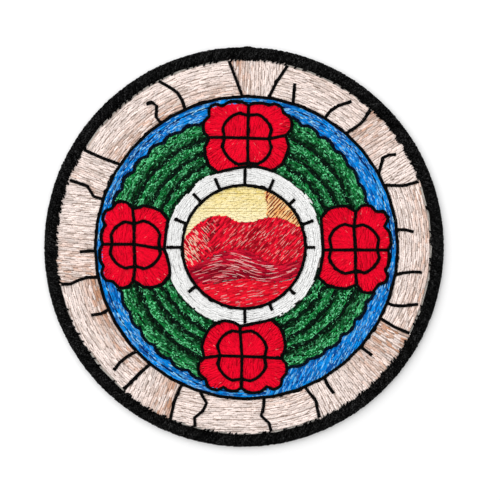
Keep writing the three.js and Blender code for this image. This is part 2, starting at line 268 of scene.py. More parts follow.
# %% [markdown]
# A course says which way stitches run. It turns the plane into two numbers: how far along a row a
# point lies, and which row it is on. Rows are straight, run in waves, run round a centre, or run
# out from it. A row round a centre has a seam, half a turn from the top, where it starts anew.
# Bearings run clockwise from the top.

# %% Courses
def polar(places, centre):
    """Bearing in radians, and distance from a centre."""
    offset = places - np.asarray(centre)
    return np.arctan2(offset[..., 0], offset[..., 1]), np.hypot(offset[..., 0], offset[..., 1])


def compass(places, centre=(0.0, 0.0)):
    """Bearing in degrees, and distance from a centre."""
    bearing, distance = polar(places, centre)
    return np.degrees(bearing) % 360, distance


def turn_from(bearing, middle):
    """How far a bearing lies from a middle one, from -180 to 180 degrees."""
    return (bearing - middle + 180) % 360 - 180


def places_at(centre, bearing, distance):
    """The places at a bearing in radians and a distance from a centre."""
    return centre + distance * np.stack([np.sin(bearing), np.cos(bearing)], axis=-1)


def straight(angle):
    """Rows along one direction, given in degrees from the +X axis."""
    turn = math.radians(angle)
    along = np.array([math.cos(turn), math.sin(turn)])
    across = np.array([-along[1], along[0]])

    def forward(places):
        return np.stack([places @ along, places @ across], axis=-1)

    def back(course):
        return course[..., :1] * along + course[..., 1:] * across

    return forward, back, None


def wavy(depth, length, crest):
    """Rows along +X that rise and fall: row + depth cos(2 pi (x - crest) / length)."""
    def rise(along):
        return depth * np.cos(2 * np.pi * (along - crest) / length)

    def forward(places):
        return np.stack([places[..., 0], places[..., 1] - rise(places[..., 0])], axis=-1)

    def back(course):
        return np.stack([course[..., 0], course[..., 1] + rise(course[..., 0])], axis=-1)

    return forward, back, None


def around(centre, middle):
    """Rows round a centre. Length is true on the middle radius."""
    def forward(places):
        bearing, distance = polar(places, centre)
        return np.stack([bearing * middle, distance], axis=-1)

    def back(course):
        return places_at(centre, course[..., 0] / middle, course[..., 1:])

    return forward, back, math.pi * middle


def outward(centre, middle, first):
    """Rows out from a centre, counted from a first bearing. Spacing is true on the middle radius."""
    start = math.radians(first)

    def forward(places):
        bearing, distance = polar(places, centre)
        turn = (bearing - start + math.pi) % (2 * math.pi) - math.pi
        return np.stack([distance, turn * middle], axis=-1)

    def back(course):
        return places_at(centre, course[..., 1] / middle + start, course[..., :1])

    return forward, back, None


# %% [markdown]
# A field is filled as a sewing machine does it: each row is cut where it crosses the outline, and
# each stretch inside is split into stitches, with the splits of one row shifted from the last.
# Flecks are short loose-looking stitches scattered on top, which give leaves and light their
# sparkle. A stitch is four course numbers: start along, start row, end along, end row. The wanders
# are shares of the pitch of the rows or of the length of a stitch.

# %% Filling a field
HOLE = 0.16
OUTLINE_STEP = 0.2
SEAM_JUMP = 20
FIRST_ROW = 0.4
ROW_WANDER = 0.12
SHORTEST_ROW = 0.2
ROW_SHIFT = 0.37
SHIFT_WANDER = 0.3
HOLE_WANDER = 0.14
END_STITCH = 0.4
SHORTEST_STITCH = 0.12


def rows_inside(loops, course, pitch, lap):
    """Stretches of rows inside the loops, as (start along, end along, row) in course numbers."""
    forward, back, seam = course
    starts, ends = [], []
    for loop in loops:
        ring = forward(resample(loop, OUTLINE_STEP))
        following = np.roll(ring, -1, axis=0)
        whole = np.abs(ring - following).max(axis=1) < SEAM_JUMP
        starts.append(ring[whole])
        ends.append(following[whole])
    start, end = np.vstack(starts), np.vstack(ends)
    low = min(start[:, 1].min(), end[:, 1].min())
    high = max(start[:, 1].max(), end[:, 1].max())
    stretches = []
    for row in np.arange(low + pitch * FIRST_ROW, high, pitch):
        row += ROW_WANDER * pitch * rng.normal()
        crossing = (start[:, 1] <= row) != (end[:, 1] <= row)
        first, last = start[crossing], end[crossing]
        share = (row - first[:, 1]) / (last[:, 1] - first[:, 1])
        cuts = np.sort(first[:, 0] + share * (last[:, 0] - first[:, 0]))
        if seam and is_inside(back(np.array([[seam, row]])), loops)[0]:
            cuts = np.concatenate([[-seam], cuts, [seam]])
        for left, right in zip(cuts[0::2], cuts[1::2]):
            if right - left > SHORTEST_ROW:
                stretches.append((left - lap * rng.random(), right + lap * rng.random(), row))
    return stretches


def stitches_inside(loops, course, pitch, length, lap=0.0, drift=0.04):
    """Stitches in rows, each sharing its needle holes with the next. The ends of a stitch drift a
    little off its row."""
    stitches = []
    for number, (left, right, row) in enumerate(rows_inside(loops, course, pitch, lap)):
        shift = ((number * ROW_SHIFT) % 1 + SHIFT_WANDER * rng.random()) * length
        cuts = np.arange(math.floor(left / length) * length + shift, right, length)
        cuts = cuts + rng.normal(0, HOLE_WANDER * length, len(cuts))
        cuts = np.sort(cuts[(cuts > left + END_STITCH) & (cuts < right - END_STITCH)])
        marks = np.concatenate([[left], cuts, [right]])
        stitches += [(start - HOLE / 2, row, end + HOLE / 2, row)
                     for start, end in zip(marks[:-1], marks[1:]) if end - start > SHORTEST_STITCH]
    stitches = np.array(stitches)
    stitches[:, 1::2] += rng.normal(0, drift, (len(stitches), 2))
    return stitches


def flecks_inside(loops, course, density, shortest, longest, tilt):
    """Scattered stitches, so many to a square millimetre, each tilted off the course by a random
    angle of up to tilt degrees, with both of its ends inside the loops."""
    forward, back, _ = course
    everything = np.vstack(loops)
    low, high = everything.min(axis=0), everything.max(axis=0)
    places = low + (high - low) * rng.random((int(density * np.prod(high - low)), 2))
    middle = forward(places)
    turn = np.radians(rng.uniform(-tilt, tilt, len(places)))
    half = 0.5 * rng.uniform(shortest, longest, len(places))[:, None]
    reach = half * np.stack([np.cos(turn), np.sin(turn)], axis=1)
    stitches = np.concatenate([middle - reach, middle + reach], axis=1)
    whole = is_inside(back(stitches[:, :2]), loops) & is_inside(back(stitches[:, 2:]), loops)
    return stitches[whole]


def middles(stitches, course):
    """The places of the middles of stitches."""
    return course[1]((stitches[:, :2] + stitches[:, 2:]) / 2)


# %% [markdown]
# Every stitch is a closed strand: a row of small rings, wide and high in the middle, that dips and
# narrows where the thread goes into the cloth. All strands of a field are made at once.

# %% Strands
BOW_POWER = 0.45
UNEVEN_LIFT = (-0.05, 0.04)
SHORT_DIP = 0.05
UP = np.array([0.0, 0.0, 1.0])


def strands(paths, widths, heights, sides=THREAD_SIDES, across=None, up=UP, start=0.25):
    """Closed tubes along paths. Paths are (strand, ring, xyz), widths and heights (strand, ring). Rings
    stand upright across their path, or else as across and up say, and start at a share of a turn. The
    lay of a corner is its distance along the strand, its place round it, and where on one long strip
    the strand starts, as if all strands were cut open and laid end to end."""
    count, rings, _ = paths.shape
    if across is None:
        along = unit(np.gradient(paths[..., :2], axis=1))
        across = np.stack([-along[..., 1], along[..., 0], np.zeros((count, rings))], axis=2)
    turn = 2 * np.pi * (np.arange(sides) / sides + start)
    corners = (
        paths[:, :, None, :]
        + 0.5 * widths[:, :, None, None] * np.cos(turn)[:, None] * across[:, :, None, :]
        + 0.5 * heights[:, :, None, None] * np.sin(turn)[:, None] * up[..., None, :]
    )
    base = (np.arange(count) * rings * sides)[:, None, None]
    ring = (np.arange(rings - 1) * sides)[None, :, None]
    side = np.arange(sides)[None, None, :]
    following = (side + 1) % sides
    quads = np.stack([
        base + ring + side,
        base + ring + following,
        base + ring + sides + following,
        base + ring + sides + side,
    ], axis=-1).reshape(-1, 4)
    fan = np.arange(1, sides - 1)
    start = base[:, :, 0] + np.zeros(sides - 2, int)
    last = start + (rings - 1) * sides
    first_cap = np.stack([start, start + fan + 1, start + fan], axis=-1).reshape(-1, 3)
    last_cap = np.stack([last, last + fan, last + fan + 1], axis=-1).reshape(-1, 3)
    step = np.linalg.norm(np.diff(paths, axis=1), axis=2)
    run = np.concatenate([np.zeros((count, 1)), np.cumsum(step, axis=1)], axis=1)
    strip = np.concatenate([[0], np.cumsum(run[:-1, -1] + STRIP_GAP)])
    lay = np.stack(np.broadcast_arrays(
        run[:, :, None], (np.arange(sides) / sides)[None, None, :], strip[:, None, None]
    ), axis=-1)
    return corners.reshape(-1, 3), quads, np.vstack([first_cap, last_cap]), lay.reshape(-1, 3)


def stitch_paths(stitches, course, top, sink, rings):
    """Bowed paths of stitches under a top height, and the share of the bow along each ring, which is
    sin(pi share) to the bow power. A stitch shorter than 1 mm lies a little lower."""
    _, back, _ = course
    share = 0.5 - 0.5 * np.cos(np.linspace(0, np.pi, rings))
    run = stitches[:, None, :2] + (stitches[:, None, 2:] - stitches[:, None, :2]) * share[:, None]
    places = back(run)
    bow = np.sin(np.pi * share) ** BOW_POWER
    length = np.linalg.norm(stitches[:, 2:] - stitches[:, :2], axis=1)
    lift = rng.uniform(*UNEVEN_LIFT, len(stitches)) - SHORT_DIP * np.clip(1 - length, 0, 1)
    height = top + lift[:, None] - sink * (1 - bow)
    return np.concatenate([places, height[..., None]], axis=2), bow


# %% [markdown]
# One helper turns arrays into a Blender object, with a colour and a lay for every corner, and a UV
# map for texture baking. The map lays the long strip of strands in shelves, one under the other, so
# that each strand has its own room, and it lays the flat parts beside them as seen from above.

# %% Meshes
STRIP_GAP = 0.8
SHELF_LENGTH = 90.0
SHELF_HEIGHT = 1.2
CAP_RADIUS = 0.12
FLAT_GAP = 12.0


def shelf_map(lay, quads, triangles, first_shelf):
    """UV places in millimetres of the faces of strands, and the shelves that they fill. A strand takes
    0.8 of the height of its shelf, from 0.05 up."""
    shelf = np.floor(lay[:, 2] / SHELF_LENGTH)
    across = lay[:, 2] - shelf * SHELF_LENGTH + STRIP_GAP / 2 + lay[:, 0]
    shelf += first_shelf
    turn = lay[quads, 1]
    turn[:, 1:3] += turn[:, 1:3] < turn[:, [0, 3]]
    on_quads = np.stack([across[quads], (shelf[quads] + 0.05 + 0.8 * turn) * SHELF_HEIGHT], axis=-1)
    angle = 2 * np.pi * lay[triangles, 1]
    beyond = np.where(lay[triangles, 0] > 0, 1, -1) * STRIP_GAP / 4
    on_triangles = np.stack([
        across[triangles] + beyond + CAP_RADIUS * np.cos(angle),
        (shelf[triangles] + 0.45) * SHELF_HEIGHT + CAP_RADIUS * np.sin(angle),
    ], axis=-1)
    return on_quads, on_triangles, int(shelf.max()) + 1


def add_object(name, data):
    """A new object in the scene."""
    thing = bpy.data.objects.new(name, data)
    bpy.context.scene.collection.objects.link(thing)
    return thing


def make_piece(name, parts, material, replaced):
    """One object from parts of (corners, quads, triangles, lay, colours)."""
    quads, triangles, quad_places, triangle_places, count, shelves = [], [], [], [], 0, 0
    for corners, fours, threes, lay, _ in parts:
        quads.append(fours + count)
        triangles.append(threes + count)
        count += len(corners)
        if len(fours):
            on_quads, on_triangles, shelves = shelf_map(lay, fours, threes, shelves)
            quad_places.append(on_quads)
            triangle_places.append(on_triangles)
        else:
            flat = corners[:, :2] - corners[:, :2].min(axis=0) + (SHELF_LENGTH + FLAT_GAP, 0)
            triangle_places.append(flat[threes])
    quads, triangles = np.vstack(quads), np.vstack(triangles)
    corners, lay, colours = (np.vstack([part[kind] for part in parts]) for kind in (0, 3, 4))
    faces_of_four = np.vstack(quad_places).reshape(-1, 2)
    places = np.concatenate([faces_of_four, np.vstack(triangle_places).reshape(-1, 2)])
    mesh = bpy.data.meshes.new(name)
    mesh.vertices.add(len(corners))
    mesh.vertices.foreach_set("co", (corners * MM).ravel())
    mesh.loops.add(quads.size + triangles.size)
    mesh.loops.foreach_set("vertex_index", np.concatenate([quads.ravel(), triangles.ravel()]))
    sizes = np.concatenate([np.full(len(quads), 4), np.full(len(triangles), 3)])
    mesh.polygons.add(len(sizes))
    mesh.polygons.foreach_set("loop_start", np.concatenate([[0], np.cumsum(sizes)[:-1]]))
    mesh.polygons.foreach_set("loop_total", sizes)
    mesh.update(calc_edges=True)
    mesh.polygons.foreach_set("use_smooth", np.ones(len(sizes), bool))
    uv_map = mesh.uv_layers.new(name="OFBake")
    uv_map.data.foreach_set("uv", (places / places.max()).ravel())
    tint = mesh.color_attributes.new("tint", "FLOAT_COLOR", "POINT")
    tint.data.foreach_set("color", np.column_stack([colours, np.ones(len(colours))]).ravel())
    lay_data = mesh.attributes.new("lay", "FLOAT_VECTOR", "POINT")
    lay_data.data.foreach_set("vector", lay.ravel())
    mesh.materials.append(material)
    piece = add_object(name, mesh)
    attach(piece, "root")
    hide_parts(*replaced)
    print(f"{name}: {len(quads) * 2 + len(triangles)} triangles")
    return piece


def plain_part(corners, triangles, colour):
    """A part without strands, in one colour."""
    colours = np.tile(rgb(colour), (len(corners), 1))
    return corners, np.zeros((0, 4), int), triangles, np.zeros((len(corners), 3)), colours


def low_solid(node, colour, height=UNDERLAY, inset=0.0):
    """A node's own solid made low, which closes the gaps between the strands over it. Where its colour
    is darker than the thread, it paints shade into those gaps. Its walls move inwards by the inset."""
    corners, triangles = node_arrays(node)
    normals = np.empty(corners.size)
    nodes[node].data.vertices.foreach_get("normal", normals)
    corners[:, :2] -= inset * unit(normals.reshape(-1, 3)[:, :2])
    low = corners[:, 2].min()
    corners[:, 2] = np.where(corners[:, 2] > low + LEVEL, low + height, low)
    return plain_part(corners, triangles, colour)


def sewn(node, course, stitches, shade, width, sink=0.1, raised=0.0, ends=0.72):
    """The strands of stitches on a field: shade(places) gives each stitch's colour from its middle,
    and ends is the share of a strand's width that is left where it goes into the cloth. Raised
    stitches are short flecks, which need fewer rings."""
    corners, _ = node_arrays(node)
    top = corners[:, 2].max() - THREAD_HEIGHT / 2 + raised
    paths, bow = stitch_paths(stitches, course, top, sink, FLECK_RINGS if raised else STITCH_RINGS)
    shape = np.broadcast_to(ends + (1 - ends) * bow, paths.shape[:2])
    colours = shade(paths[:, paths.shape[1] // 2, :2])
    colours = np.repeat(colours, paths.shape[1] * THREAD_SIDES, axis=0)
    return *strands(paths, width * shape, THREAD_HEIGHT * shape), colours


# %% [markdown]
# Materials. Thread is bright rayon: its colour comes from the tint of each stitch, the twist of its
# plies is a fine slanted ripple in the surface, and its shine is soft. Black thread drinks nearly
# all light, so its shine is lower still, and its fibre noise lifts small specks to grey: painted
# glints.

# %% Materials
FIBRE_SIZE = 0.2
TWIST_DEPTH = 0.03
RIB_DEPTH = 0.06
PEBBLE_DEPTH = 0.03
PEBBLES_PER_METRE = 1400.0
CLOUDS_PER_METRE = 160.0


def add_node(tree, kind, inputs=None, **settings):
    """A shader node with its settings and input values."""
    node = tree.nodes.new(kind)
    for name, value in settings.items():
        setattr(node, name, value)
    for name, value in (inputs or {}).items():
        if isinstance(value, bpy.types.NodeSocket):
            tree.links.new(value, node.inputs[name])
        else:
            node.inputs[name].default_value = value
    return node


def new_material(name):
    """An empty material and its tree."""
    material = bpy.data.materials.new(name)
    material.use_nodes = True
    material.node_tree.nodes.clear()
    return material, material.node_tree


def maths(tree, operation, *values):
    """One operation on numbers or on what other nodes give."""
    return add_node(tree, "ShaderNodeMath", dict(enumerate(values)), operation=operation).outputs[0]


def texture(tree, kind, **inputs):
    """A texture that keeps its place on the patch."""
    places = add_node(tree, "ShaderNodeTexCoord")
    return add_node(tree, f"ShaderNodeTex{kind}", {"Vector": places.outputs["Object"], **inputs})


def shaded(tree, colour, noise, darkest, lightest, span=(0.0, 1.0)):
    """A colour times a factor that grows from darkest to lightest where noise grows over its span."""
    factor = add_node(tree, "ShaderNodeMapRange",
                      {"Value": noise, "From Min": span[0], "From Max": span[1],
                       "To Min": darkest, "To Max": lightest})
    return add_node(tree, "ShaderNodeVectorMath",
                    {0: colour, "Scale": factor.outputs["Result"]}, operation="SCALE").outputs[0]


def finish_material(tree, colour, roughness, height, depth, strength, shine=0.5):
    """The relief, the shader and the output that every material of the patch ends with."""
    bump = add_node(tree, "ShaderNodeBump", {"Height": height, "Distance": depth * MM, "Strength": strength})
    shader = add_node(tree, "ShaderNodeBsdfPrincipled",
                      {"Base Color": colour, "Roughness": roughness, "Normal": bump.outputs[0],
                       "Specular IOR Level": shine})
    add_node(tree, "ShaderNodeOutputMaterial", {"Surface": shader.outputs[0]})


def thread_material(name, roughness, shine, twist, fibres, darkest, lightest):
    """Twisted thread. Twist height is sin(2 pi (distance / twist pitch + 2 place round it)). The
    colour of its fibres varies at 0.2 mm, as small as the picture can show: noise from fibres[0] to
    fibres[1] takes the tint from its darkest to its lightest share. Where the lightest share is many
    times the tint, as on black thread, the brightest specks are painted glints."""
    material, tree = new_material(name)
    tint = add_node(tree, "ShaderNodeAttribute", attribute_name="tint")
    lay = add_node(tree, "ShaderNodeAttribute", attribute_name="lay")
    parts = add_node(tree, "ShaderNodeSeparateXYZ", {"Vector": lay.outputs["Vector"]})
    turns = maths(tree, "DIVIDE", parts.outputs["X"], TWIST_PITCH)
    phase = maths(tree, "ADD", turns, maths(tree, "MULTIPLY", parts.outputs["Y"], 2.0))
    ripple = maths(tree, "SINE", maths(tree, "MULTIPLY", phase, 2 * math.pi))
    fibre_tone_and_glints = texture(tree, "Noise", Scale=1 / (FIBRE_SIZE * MM), Detail=2.0)
    colour = shaded(tree, tint.outputs["Color"], fibre_tone_and_glints.outputs["Fac"], darkest, lightest, fibres)
    finish_material(tree, colour, roughness, ripple, TWIST_DEPTH, twist, shine)
    return material


rayon = thread_material("rayon_thread", roughness=0.45, shine=0.06, twist=0.6,
                        fibres=(0.3, 0.7), darkest=0.82, lightest=1.14)
# On black thread the lightest share is far above 1, so the fibre noise paints grey glints
black_thread = thread_material("black_rayon_thread", roughness=0.6, shine=0.04, twist=0.5,
                               fibres=(0.5, 0.75), darkest=0.5, lightest=9.0)
overlock_yarn = thread_material("black_overlock_yarn", roughness=0.75, shine=0.01, twist=0.9,
                                fibres=(0.5, 0.7), darkest=0.3, lightest=36.0)


def cloth_material(name, colour, pitch):
    """Twill: slanted ribs at a real pitch in millimetres. The wave turns once where 10 scale (x + y)
    grows by 2 pi, so scale = 2 pi / (10 sqrt(2) pitch). The colour darkens in the ribs' hollows:
    painted shade."""
    material, tree = new_material(name)
    wave = texture(tree, "Wave", Distortion=1.5, Detail=2.0,
                   Scale=2 * math.pi / (10 * math.sqrt(2) * pitch * MM))
    wave.bands_direction = "DIAGONAL"
    ribs = wave.outputs["Fac"]
    # The cloth's colour follows the ribs, darker in their hollows: painted shade
    finish_material(tree, shaded(tree, tuple(rgb(colour)), ribs, 0.82, 1.04), 0.85, ribs, RIB_DEPTH, 0.8)
    return material


def film_material():
    """Heat-seal film: milky, with a faint pebble from the roller."""
    material, tree = new_material("heat_seal_film")
    pebble = texture(tree, "Voronoi", Scale=PEBBLES_PER_METRE)
    cloud = texture(tree, "Noise", Scale=CLOUDS_PER_METRE)
    milk = shaded(tree, tuple(rgb(FILM)), cloud.outputs["Fac"], 0.88, 1.05)
    finish_material(tree, milk, 0.38, pebble.outputs["Distance"], PEBBLE_DEPTH, 0.5)
    return material


for node, material in (("twill_ground", cloth_material("white_twill", LINEN, 0.5)),
                       ("backing_film", film_material())):
    nodes[node].data.materials.clear()
    nodes[node].data.materials.append(material)


# %% [markdown]
# The twill is one round sheet of cloth, cut flat and laid on the film. This cell only reads its
# corners.

# %% The sheet of twill
twill_corners, _ = node_arrays("twill_ground")


# %% [markdown]
# The rings of the picture are read from the solids. A circle's centre is the middle of its box, and
# its radius is the mean distance of its points from there.

# %% Rings
def circle_of(loop):
    """Centre and radius of a nearly round loop."""
    centre = (loop.min(axis=0) + loop.max(axis=0)) / 2
    return centre, np.linalg.norm(loop - centre, axis=1).mean()


blue_loops = widest_first("blue_field")
ring_centre, _ = circle_of(blue_loops[0])
dial_loops = widest_first("dial_field")
dial_centre, dial_radius = circle_of(dial_loops[-1])
border_corners, border_triangles = node_arrays("overlock_border")
border_reach = np.hypot(border_corners[:, 0], border_corners[:, 1])
RIM, OUTER_RIM = border_reach.min(), border_reach.max()
RIM_MIDDLE = (RIM + OUTER_RIM) / 2


# %% [markdown]
# Stones. Some have rows along the ring and some have rows across it or at an angle, as masonry is
# shaded, and each is tanned towards one edge: its first side, its inner edge or its rim. Thin brown
# dashes are scattered on the rows, like the shadows between threads.

# %% Stones
STONE_STYLES = {
    "stone_01": ("around", "rim", 0.15), "stone_02": (33, "first", 0.6),
    "stone_03": ("around", "rim", 0.5), "stone_04": ("outward", "first", 0.8),
    "stone_05": ("around", "inner", 0.3), "stone_06": (0, "inner", 0.15),
    "stone_07": (-12, "inner", 0.15), "stone_08": (68, "first", 0.8),
    "stone_09": ("around", "inner", 0.8), "stone_10": (-5, "first", 0.5),
    "stone_11": (-22, "first", 0.4), "stone_12": ("around", "inner", 0.6),
    "stone_13": ("around", "inner", 0.4), "stone_14": (88, "first", 0.6),
}

POKE = 0.3
NEAR_RIM = 0.35


def stone_shade(loop, side, strength):
    """Cream stitches that turn tan towards one side of the stone."""
    middle, _ = compass(loop.mean(axis=0)[None])
    bearing, radius = compass(loop)
    spread = turn_from(bearing, middle)
    low, high = spread.min(), spread.max()
    inner, rim = radius.min(), radius.max()

    def shade(places):
        bearing, radius = compass(places)
        turn = (turn_from(bearing, middle) - low) / (high - low)
        depth = (radius - inner) / (rim - inner)
        towards = {"first": 1 - turn, "inner": 1 - depth, "rim": depth}[side]
        tan = strength * np.clip(towards * 1.6 - 0.5, 0, 1) * 1.7 * rng.random(len(places)) ** 1.4
        return uneven(blend(mix(CREAM, TAN, tan), ASH, 0.45 * some(places, 0.16)), 0.8, 1.16)

    return shade


def poke(rows, course):
    """Rows whose ends reach unevenly over the inner ends of the border, where they meet the rim."""
    for end, way in ((0, -1), (2, 1)):
        _, radius = compass(course[1](rows[:, end:end + 2]))
        at_rim = radius > RIM - NEAR_RIM
        rows[at_rim, end] += way * POKE * rng.random(at_rim.sum())
    return rows


def dash_shade(places):
    """Brown dashes, some of them faint."""
    return mix(CREAM, DASH, rng.uniform(0.15, 1, len(places)))


for node, (way, side, strength) in STONE_STYLES.items():
    loops = node_loops(node)
    bearing, distance = compass(loops[0].mean(axis=0)[None])
    if way == "around":
        course = around(ring_centre, float(distance[0]))
    elif way == "outward":
        course = outward(ring_centre, float(distance[0]), float(bearing[0]))
    else:
        course = straight(way)
    rows = poke(stitches_inside(loops, course, pitch=0.4, length=1.5, lap=0.2, drift=0.08), course)
    dashes = flecks_inside(loops, course, density=1.3 + 1.3 * strength,
                           shortest=0.3, longest=1.0, tilt=6)
    parts = [
        low_solid(node, STONE_PAD),
        sewn(node, course, rows, stone_shade(loops[0], side, strength), width=0.46, sink=0.05),
        sewn(node, course, dashes, dash_shade, width=0.12, raised=0.035, ends=0.4),
    ]
    make_piece(f"stitched_{node}", parts, rayon, [node])


# %% [markdown]
# The blue field has rows round the ring, and steep rows in its lower right part, with pale streaks.

# %% Blue field
BLUE_MIDDLE = 28.0
STEEP_ANGLE = 66
STEEP_PART = (106, 172)


def blue_shade(places):
    """Mostly one blue, with paler and deeper stitches."""
    colours = blend(mix(SKY_BLUE, DEEP_BLUE, rng.random(len(places)) ** 1.8), PALE_BLUE,
                    some(places, 0.08) * rng.uniform(0.2, 0.6, len(places)))
    return uneven(colours, 0.85, 1.1)


def streak_shade(places):
    """Pale blue, and deep blue for two streaks in five."""
    pale = mix(SKY_BLUE, ICE_BLUE, rng.random(len(places)) ** 1.1)
    return blend(pale, SEA_BLUE, some(places, 0.4) * rng.uniform(0.5, 1, len(places)))


def part_of(stitches, course, start, end):
    """True for the stitches whose middle lies between two bearings of the ring."""
    bearing, _ = compass(middles(stitches, course), ring_centre)
    return (bearing > start) & (bearing < end)


blue_around = around(ring_centre, BLUE_MIDDLE)
blue_steep = straight(STEEP_ANGLE)
parts = [low_solid("blue_field", BLUE_PAD)]
for course, inside in ((blue_around, False), (blue_steep, True)):
    rows = stitches_inside(blue_loops, course, pitch=0.3, length=1.7)
    streaks = flecks_inside(blue_loops, course, density=4.0, shortest=0.4, longest=1.2, tilt=9)
    layers = ((rows, blue_shade, 0.36, 0.0), (streaks, streak_shade, 0.17, 0.06))
    for stitches, shade, width, raised in layers:
        chosen = stitches[part_of(stitches, course, *STEEP_PART) == inside]
        parts.append(sewn("blue_field", course, chosen, shade, width, raised=raised))
make_piece("stitched_blue_field", parts, rayon, ["blue_field"])


# %% [markdown]
# Garlands. Between two of its lines a garland has one thick strand of leaves, with painted shade
# along its lower line and painted light towards the upper one, and it is sprinkled with small
# stitches at all angles whose bright green is painted glints.

# %% Garlands
WREATH_MIDDLE = 21.0
LOWEST_STRAND = 2.4
STRAND_WAVER = 0.25


def line_reach(garland, line):
    """How far a line lies from the dial's centre, as a straight function of the bearing."""
    bearing, radius = compass(np.vstack(node_loops(f"{garland}_{line}_line")), dial_centre)
    return np.polyfit(turn_from(bearing, garland_bearing(garland)), radius, 1)


def garland_bearing(garland):
    """The bearing of the middle of a garland."""
    bearing, _ = compass(node_loops(garland)[0].mean(axis=0)[None], dial_centre)
    return float(bearing[0])


def ripples(size, count=7):
    """A function that gives an uneven wave from about -1 to 1: a sum of sines of random directions
    and lengths near one size."""
    turn = rng.uniform(0, 2 * np.pi, count)
    pace = 2 * np.pi / (size * rng.uniform(0.7, 1.5, count))
    waves = pace * np.stack([np.cos(turn), np.sin(turn)])
    phases = rng.uniform(0, 2 * np.pi, count)
    return lambda places: np.sin(places @ waves + phases).sum(axis=1) / math.sqrt(count)


def leaf_light(garland):
    """A function that gives the painted light on the leaves at each place, from 0 in painted shade to 1."""
    middle = garland_bearing(garland)
    reaches = [line_reach(garland, line) for line in ("waved", "middle", "upper", "edge")]
    waver, lumps = ripples(size=2.0), ripples(size=1.1)

    def light(places):
        """Painted light is 2.6 share - 0.4 + 0.35 lumps, with share 0 at a strand's lower line and 1 at
        its upper one. The lowest strand has no line below it."""
        bearing, radius = compass(places, dial_centre)
        radius = radius + STRAND_WAVER * waver(places)
        offset = turn_from(bearing, middle)
        levels = np.array([np.polyval(reach, offset) for reach in reaches])
        levels = np.vstack([levels[:1] - LOWEST_STRAND, levels])
        strand = np.clip((levels < radius).sum(axis=0) - 1, 0, 3)
        every = np.arange(len(places))
        low, high = levels[strand, every], levels[strand + 1, every]
        share = (radius - low) / (high - low)
        return np.clip(2.6 * share - 0.4 + 0.35 * lumps(places), 0, 1)

    return light


for number in range(1, 5):
    node = f"garland_{number}"
    light = leaf_light(node)
    course = around(dial_centre, WREATH_MIDDLE)
    loops = node_loops(node)

    def leaf_shade(places):
        """Painted shade to painted light: dark to bright green by the light at each place, with a few
        painted glints.
        """
        colours = mix(PAINTED_SHADE_GREEN, LEAF, light(places) * rng.uniform(0.3, 1.2, len(places)))
        return blend(colours, PAINTED_GLINT_GREEN, 0.35 * some(places, 0.15) * light(places))

    def glint_shade(places):
        """Painted glints: bright green where the painted light is strong, deep green in the painted shade.
        """
        bright = light(places) * np.clip(1.8 * rng.random(len(places)) ** 1.7, 0, 1)
        return blend(mix(PAINTED_SHADE_GREEN, PAINTED_GLINT_GREEN, bright), LEAF, 0.15)

    rows = stitches_inside(loops, course, pitch=0.36, length=1.1, drift=0.14)
    # The glints' bright green is painted highlights of the thread's sheen
    glints = flecks_inside(loops, course, density=6.0, shortest=0.25, longest=0.6, tilt=85)
    parts = [
        low_solid(node, LEAF_PAD),
        sewn(node, course, rows, leaf_shade, width=0.38, sink=0.14),
        sewn(node, course, glints, glint_shade, width=0.2, raised=0.09, ends=0.6),
    ]
    make_piece(f"stitched_{node}", parts, rayon, [node])


# %% [markdown]
# Roses. The black lines of a rose leave eight cells open. Each cell is sewn by itself: the outer
# petals have rows that run out from the middle of the rose, and the inner ones nearly upright rows.

# %% Roses
INNER_PETALS = 4.2
PETAL_MIDDLE = 7.0
LINE_LAP = 0.22
UPRIGHT = 90
LEAN = 24

petal_shade = between(ROSE_RED, DEEP_RED, power=2.5, share=0.7)
# The pale pink flecks on the outer petals are painted glints
petal_glint = between(ROSE_RED, GLINT_PINK, power=3, share=0.8)

for number in range(1, 5):
    node = f"rose_{number}"
    centre = node_loops(node)[0].mean(axis=0)
    parts = [low_solid(node, ROSE_PAD)]
    for cell in widest_first(f"{node}_outline")[1:]:
        bearing, distance = compass(cell.mean(axis=0)[None], centre)
        if distance[0] < INNER_PETALS:
            course = straight(UPRIGHT + LEAN * rng.uniform(-1, 1))
        else:
            course = outward(centre, PETAL_MIDDLE, float(bearing[0]))
            glints = flecks_inside([cell], course, density=0.8, shortest=0.4, longest=1.0, tilt=8)
            if len(glints):
                parts.append(sewn(node, course, glints, petal_glint, width=0.14, raised=0.04, ends=0.4))
        rows = stitches_inside([beside(cell, LINE_LAP)], course, pitch=0.3, length=1.1, drift=0.08)
        parts.append(sewn(node, course, rows, petal_shade, width=0.42, sink=0.04))
    make_piece(f"stitched_{node}", parts, rayon, [node])


# %% [markdown]
# The dial is a white ring whose rows run round it. Beside the garlands, its outer edge swells a
# little between its marks.

# %% Dial
DIAL_MIDDLE = 14.0
BLOCK_SWELL = 0.38
SWOLLEN_SPAN = 28
SWOLLEN_FADE = 5


def dial_shade(places):
    """White with faint grey stitches."""
    return rgb(CHALK) * rng.uniform(0.85, 1.0, (len(places), 1))


def swollen(loop):
    """The dial's outer edge, moved out by block swell |sin(8 bearing)|^0.6. The swelling fades out at
    the swollen span from the middle of a garland, in degrees."""
    bearing, _ = compass(loop, dial_centre)
    aside = np.abs(bearing % 90 - 45)
    swell = BLOCK_SWELL * np.abs(np.sin(np.radians(8 * bearing))) ** 0.6
    swell = swell * np.clip((SWOLLEN_SPAN - aside) / SWOLLEN_FADE, 0, 1)
    return beside(loop, -swell[:, None])


course = around(dial_centre, DIAL_MIDDLE)
edges = [swollen(dial_loops[0])] + dial_loops[1:]
rows = stitches_inside(edges, course, pitch=0.36, length=1.3, drift=0.06)
parts = [low_solid("dial_field", DIAL_PAD),
         sewn("dial_field", course, rows, dial_shade, width=0.46, sink=0.03)]
make_piece("stitched_dial", parts, rayon, ["dial_field"])


